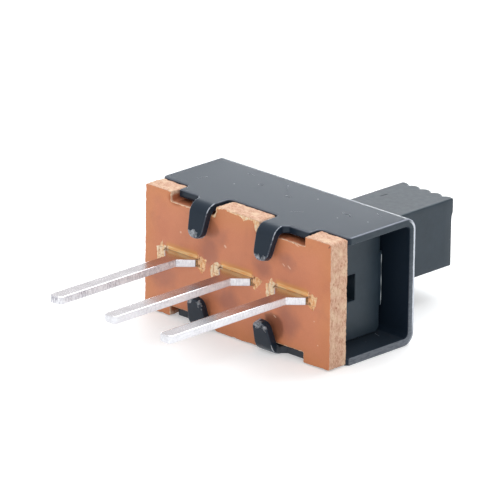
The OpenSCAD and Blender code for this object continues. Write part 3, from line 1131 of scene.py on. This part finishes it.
def steel_wear(s, fray, scuffed):
    """Layers for the sheet's edges: lower cut sides painted paler as a reflection of the floor, a painted
    highlight along the outer edges, worn coat with painted highlights along the claws' edges, and the
    scuffed tips of its claws.
    """
    # The lip is a painted highlight, stronger towards the top.
    lip = s.product(s.mark("lip"), s.ramp(s.along((0, 0, 1)), -1.9, INNER_Z, 0.25, 0.8))
    worn_and_lit = s.ramp(s.total(s.mark("wear"), fray), 0.95, 1.1)
    scuff = s.mix(s.ramp(s.noise(0.1, 3), 0.42, 0.62), *SCUFF)
    return (
        (s.mark("sheared"), FLOOR_LIT_EDGE),
        (lip, EDGE_HIGHLIGHT),
        (worn_and_lit, WORN_EDGE_AND_HIGHLIGHT),
        (s.product(scuffed, 0.9), scuff))


def coated_steel():
    s = Shader("coated_steel")
    fray = s.ramp(s.noise(0.16, 4, 0.7), 0.25, 0.75, -0.35, 0.35)
    blotch = s.ramp(s.noise(0.3, 3, 0.5), 0.25, 0.75, -0.5, 0.5)
    scuffed = s.ramp(s.total(s.mark("scuff"), blotch), 0.68, 0.8)
    top = s.ramp(s.axis(2), FRAME_Z - 0.3, FRAME_Z - 0.2)
    scraped = s.product(top, s.strokes(TOP_SCRAPES))
    speck = s.product(top, s.strokes(TOP_SPECKS), 0.4)
    colour = s.layers(COAT, *steel_end(s, fray), *steel_wear(s, fray, scuffed), (speck, SPECK))
    rough = s.ramp(s.noise(1.2, 1), 0, 1, 0.25, 0.27)
    return s.finish(
        base_color=colour,
        roughness=s.total(rough, s.product(scraped, 0.5), s.product(scuffed, 0.2)),
        specular_ior_level=0.27,
        specular_tint=COAT_GLOSS,
        sheen_weight=0.36,
        sheen_roughness=0.3,
        sheen_tint=COAT_SHEEN,
        normal=s.bump(scraped, 0.05, 1.0, s.bump(s.noise(0.07, 2), 0.0003, 0.4)))


# The face's colour near its edges, then in its core: the warmer colour near the edges is painted light, as
# if shining through the board.
FACE = (0.68, 0.255, 0.11), (0.70, 0.255, 0.13)
FACE_CLOUD, FACE_FLECK = (0.53, 0.165, 0.09), (0.76, 0.36, 0.2)
PAINTED_SHADE, RED_SPOT_COLOUR, CLAW_SHADOW_COLOUR = (0.34, 0.13, 0.10), (0.36, 0.075, 0.016), (0.14, 0.04, 0.02)
CRUSH_RIM_GLOW = (0.74, 0.33, 0.095)
CRUSHED_GLOW = (0.98, 0.47, 0.16), (1.0, 0.68, 0.33)
DASH, CHIP, PIT_SHADE = (0.95, 0.70, 0.52), (0.2, 0.07, 0.04), (0.13, 0.07, 0.035)
TORN_COOL = (0.90, 0.55, 0.29), (1.0, 0.86, 0.64)
TORN_WARM = (0.78, 0.36, 0.14), (1.0, 0.70, 0.42)
PLY = (0.44, 0.20, 0.12), (0.70, 0.46, 0.33)
PLY_CLOUD, PLY_FLECK, NOTCH_SHADE = (0.78, 0.59, 0.41), (0.34, 0.12, 0.055), (0.42, 0.135, 0.06)
FACE_DASHES = [
    (-2.61, 0.88, 0, 0.09, 0.09), (-0.53, 0.91, -40, 0.15, 0.09), (2.15, 0.96, -35, 0.16, 0.05),
    (2.4, 0.94, -35, 0.2, 0.06), (2.72, 1.8, -20, 0.26, 0.05), (3.56, -0.64, 0, 0.06, 0.06),
    (3.74, -1.43, 0, 0.06, 0.06), (1.78, -0.93, -30, 0.16, 0.05)]
DARK_CHIPS = [(4.2, 2.1, 50, 0.16, 0.06)]


def laminate_face(s):
    """The pressed face before it is torn: clouded, slightly warmer near its edges as painted light, with
    painted shade round the slots, painted shadows beside the claws, a reddened spot, and crushed at the
    slots with a painted glow along their upper edges.
    """
    front = s.ramp(s.along((0, 1, 0)), 0.1, 0.06)
    cloud = s.ramp(s.noise(0.7, 4, 0.6), 0.3, 0.7, -0.3, 0.3)
    streak = s.ramp(s.noise(0.03, 2, 0.5, (0.06, 1, 1)), 0.42, 0.6)
    press = s.mark("crushed")
    return s.layers(
        s.mix(s.mark("core"), *FACE),
        (s.ramp(s.noise(1.3, 4), 0.45, 0.75, 0, 0.45), FACE_CLOUD),
        (s.ramp(s.noise(0.05, 3, 0.6), 0.5, 0.75, 0, 0.3), FACE_FLECK),
        # painted shade round the slots, broken up by clouds
        (s.ramp(s.total(s.mark("shade"), cloud), 0.1, 1, 0, 0.55), PAINTED_SHADE),
        # crushed slot edges, coloured with a painted orange glow of light
        (s.ramp(press, 0.02, 0.5, 0, 0.85), CRUSH_RIM_GLOW),
        (s.ramp(press, 0.5, 0.62), s.mix(streak, *CRUSHED_GLOW)),
        (s.mark("rust"), RED_SPOT_COLOUR),
        # painted shadows beside the claws
        (s.product(s.mark("stain"), 0.6), CLAW_SHADOW_COLOUR),
        (s.product(front, s.strokes(FACE_DASHES, 2), 0.6), DASH),
        (s.product(front, s.strokes(DARK_CHIPS, 2), 0.8), CHIP))


def laminate_side(s):
    """The punched side: speckled plies, with painted shade on the cut sides deep in the notches and slots.
    """
    # Painted shade on the cut sides deeper than the front, away from the top and bottom edges and the ends.
    walls = s.product(
        s.ramp(s.axis(2), 2.08, 2.02),
        s.ramp(s.axis(0), 4.15, 4.1),
        s.ramp(s.along((0, 1, 0)), 0.03, 0.12))
    return s.layers(
        s.mix(s.ramp(s.noise(0.085, 5, 0.75, (0.5, 1.3, 0.5), 0.8), 0.36, 0.58), *PLY),
        (s.ramp(s.noise(0.3, 4), 0.45, 0.7, 0, 0.7), PLY_CLOUD),
        (s.ramp(s.noise(0.07, 3, 0.6, (0.7, 1.1, 0.7)), 0.6, 0.7, 0, 0.75), PLY_FLECK),
        (walls, NOTCH_SHADE))


def laminate():
    s = Shader("laminate")
    ragged = s.product(s.ramp(s.noise(0.12, 4, 0.7), 0.25, 0.75, -0.5, 0.5), 0.5)
    bare = s.ramp(s.total(s.mark("torn"), ragged), 0.4, 0.55)
    side = s.ramp(s.total(s.mark("cut"), ragged), 0.35, 0.6)
    fleck = s.ramp(s.noise(0.09, 4, 0.7, (1.4, 1, 0.5)), 0.38, 0.6)
    torn_board = s.mix(s.mark("warm"), s.mix(fleck, *TORN_COOL), s.mix(fleck, *TORN_WARM))
    # The pits are also painted dark, as painted shade in them.
    pit = s.product(s.mark("pit"), 0.85)
    colour = s.layers(laminate_face(s), (bare, torn_board), (pit, PIT_SHADE), (side, laminate_side(s)))
    return s.finish(
        base_color=colour,
        roughness=s.ramp(s.math("MAXIMUM", s.mark("cut"), bare), 0, 1, 0.4, 0.8),
        normal=s.bump(s.noise(0.06, 3), 0.01, 0.4),
        specular_ior_level=0.35)


PLATING = (0.57, 0.545, 0.565), (0.64, 0.615, 0.64)
PIN_SIDE = (0.84, 0.84, 0.88), (0.93, 0.93, 0.96)
TARNISH, DRAWN, ROOT_SHADOW = (0.27, 0.25, 0.31), (0.45, 0.46, 0.50), (0.06, 0.055, 0.045)
BOARD_REFLECTION = (0.42, 0.24, 0.11), (0.80, 0.56, 0.30)


def plated_brass():
    s = Shader("plated_brass")
    side = s.mark("cut")
    depth = s.along((0, 1, 0))
    sheared = s.mix(s.ramp(s.noise(0.07, 3, 0.6, (0.3, 0.6, 1)), 0.35, 0.65), *PIN_SIDE)
    tarnished = s.product(
        side,
        s.ramp(s.noise(0.05, 3, 0.6, (1, 1.5, 0.35)), 0.42, 0.6),
        s.ramp(s.noise(1.1, 3), 0.4, 0.62, 0.15, 0.9),
        s.ramp(s.along((1, 0, 0)), -PITCH, -PITCH / 2, 1, 0.3))
    # Where the cut sides meet the board: a painted shadow, then nearest the board a painted reflection of
    # the board's colours.
    in_board = s.product(side, s.ramp(depth, 0.1, 0.2, 1, 0))
    board_reflection = s.mix(s.ramp(s.noise(0.06, 3), 0.4, 0.6), *BOARD_REFLECTION)
    colour = s.layers(
        s.mix(s.ramp(s.noise(0.4, 4), 0.35, 0.7), *PLATING),
        (side, sheared),
        (tarnished, TARNISH),
        (s.ramp(s.noise(0.04, 2, 0.5, (1, 0.06, 1)), 0.55, 0.7, 0, 0.3), DRAWN),
        (s.product(in_board, s.ramp(depth, -0.095, -0.085)), ROOT_SHADOW),
        (s.product(in_board, s.ramp(depth, -0.06, -0.04)), board_reflection))
    return s.finish(
        base_color=colour,
        metallic=s.ramp(side, 0, 1, 1, 0.35),
        roughness=s.total(s.ramp(s.noise(0.6, 2), 0.3, 0.7, 0.15, 0.22), s.product(side, 0.3)),
        normal=s.bump(s.noise(0.12, 2, 0.5, (1, 0.25, 1)), 0.0008, 0.35))


MOULDED = (0.010, 0.020, 0.030), (0.016, 0.028, 0.041)
NICK_COLOUR, FLASH_HIGHLIGHT = (0.004, 0.006, 0.009), (0.36, 0.40, 0.42)
MOULDED_GLOSS = (0.86, 0.94, 1.0)
NICK = (0.11, 6.93, 85, 0.42, 0.1)


def black_plastic():
    s = Shader("black_plastic")
    nick = s.product(s.stroke(*NICK), s.ramp(s.axis(2), KNOB_W / 2 - 0.2, KNOB_W / 2 - 0.1))
    colour = s.layers(
        s.mix(s.ramp(s.noise(0.6, 4), 0.3, 0.7), *MOULDED),
        (nick, NICK_COLOUR),
        # The flash bead is painted pale, as a highlight along it.
        (s.mark("flash"), FLASH_HIGHLIGHT))
    return s.finish(
        base_color=colour,
        roughness=s.total(s.ramp(s.noise(0.2, 3), 0.3, 0.7, 0.32, 0.42), s.product(nick, 0.4)),
        specular_ior_level=0.42,
        specular_tint=MOULDED_GLOSS,
        normal=s.bump(s.total(s.noise(0.06, 3), s.product(nick, -3)), 0.003, 0.5))


BRONZE = (0.16, 0.09, 0.045), (0.26, 0.16, 0.08)


def spring_bronze():
    s = Shader("spring_bronze")
    return s.finish(
        base_color=s.mix(s.ramp(s.noise(0.4, 4), 0.35, 0.7), *BRONZE),
        metallic=1.0,
        roughness=0.45,
        normal=s.bump(s.noise(0.03, 2, 0.5, (0.3, 3, 3)), 0.002, 0.4))


# ---------------- camera, light, floor
CAMERA_AZIMUTH = math.radians(44.157)
CAMERA_ELEVATION = math.radians(19.624)
CAMERA_ROLL = math.radians(0.701)
CAMERA_DISTANCE = 229.33
CAMERA_AIM = (0.4485, 0.8731)
CAMERA_LENS = 500.75
SENSOR = 36
WHITE = (1, 1, 1)
WORLD_LIGHT = 0.7
FLOOR_SIZE = 3.0
FLOOR_GREY = (0.8, 0.8, 0.8)
FLOOR_GLOW = 0.35


def build_camera():
    """A long lens on the pin side, a little above the switch. Its place and aim are in millimetres."""
    turn = Matrix.Rotation(CAMERA_AZIMUTH, 3, "Z") @ Matrix.Rotation(math.pi / 2 - CAMERA_ELEVATION, 3, "X")
    turn = turn @ Matrix.Rotation(CAMERA_ROLL, 3, "Z")
    place = turn @ Vector((*CAMERA_AIM, CAMERA_DISTANCE)) * MM
    data = bpy.data.cameras.new("camera")
    data.lens = CAMERA_LENS
    data.sensor_width = SENSOR
    data.clip_start = 0.01
    data.clip_end = 10
    camera = in_scene("camera", data)
    camera.matrix_world = Matrix.Translation(place) @ turn.to_4x4()
    bpy.context.scene.camera = camera


def area_light(name, place, size, power, colour=WHITE):
    """A soft lamp of a width and a height that faces the frame's origin. Its place is in metres."""
    data = bpy.data.lights.new(name, "AREA")
    data.shape = "RECTANGLE"
    data.size, data.size_y = size
    data.energy = power
    data.color = colour
    lamp = in_scene(name, data)
    lamp.location = place
    lamp.rotation_euler = (-Vector(place)).to_track_quat("-Z", "Y").to_euler()


def seen_directly(nodes):
    """1 for what the camera sees, and for what gloss and glass show."""
    path = nodes.node("LightPath").outputs
    found = nodes.math("MAXIMUM", path["Is Camera Ray"], path["Is Glossy Ray"])
    return nodes.math("MAXIMUM", found, path["Is Transmission Ray"])


def build_world():
    """An even white light, which the camera, gloss and glass see as plain white."""
    world = bpy.data.worlds.new("studio")
    nodes = Nodes(world)
    lit = nodes.node("Background", {"Strength": WORLD_LIGHT, "Color": WHITE})
    white = nodes.node("Background", {"Strength": 1, "Color": WHITE})
    seen = seen_directly(nodes)
    mix = nodes.node("MixShader", {0: seen, 1: lit.outputs[0], 2: white.outputs[0]})
    nodes.node("OutputWorld", {"Surface": mix.outputs[0]})
    bpy.context.scene.world = world


def build_floor():
    """A white table that keeps the object's shadow and is white to the camera elsewhere."""
    bpy.ops.mesh.primitive_plane_add(size=FLOOR_SIZE, location=(0, 0, FRAME_LOW[2] * MM))
    floor = bpy.context.object
    floor.name = "floor"
    material = bpy.data.materials.new("floor")
    nodes = Nodes(material)
    matte = nodes.node("BsdfDiffuse", {"Color": FLOOR_GREY})
    glow = nodes.node("Emission", {"Strength": nodes.product(seen_directly(nodes), FLOOR_GLOW)})
    both = nodes.node("AddShader", {0: matte.outputs[0], 1: glow.outputs[0]})
    nodes.node("OutputMaterial", {"Surface": both.outputs[0]})
    floor.data.materials.append(material)


def build_studio():
    bpy.context.scene.view_settings.view_transform = "Standard"
    build_world()
    build_floor()
    area_light("key", (-0.12, 0.26, 0.42), (0.4, 0.4), 2.2, (0.93, 0.97, 1.0))
    area_light("fill", (0.42, -0.2, 0.25), (0.35, 0.35), 0.5)
    area_light("rim", (-0.35, 0.6, 0.04), (0.9, 0.07), 1.2)


build_camera()
build_studio()
build_frame(coated_steel())
build_base(laminate())
build_terminals(plated_brass())
build_slider(black_plastic())
dress_clip(spring_bronze())
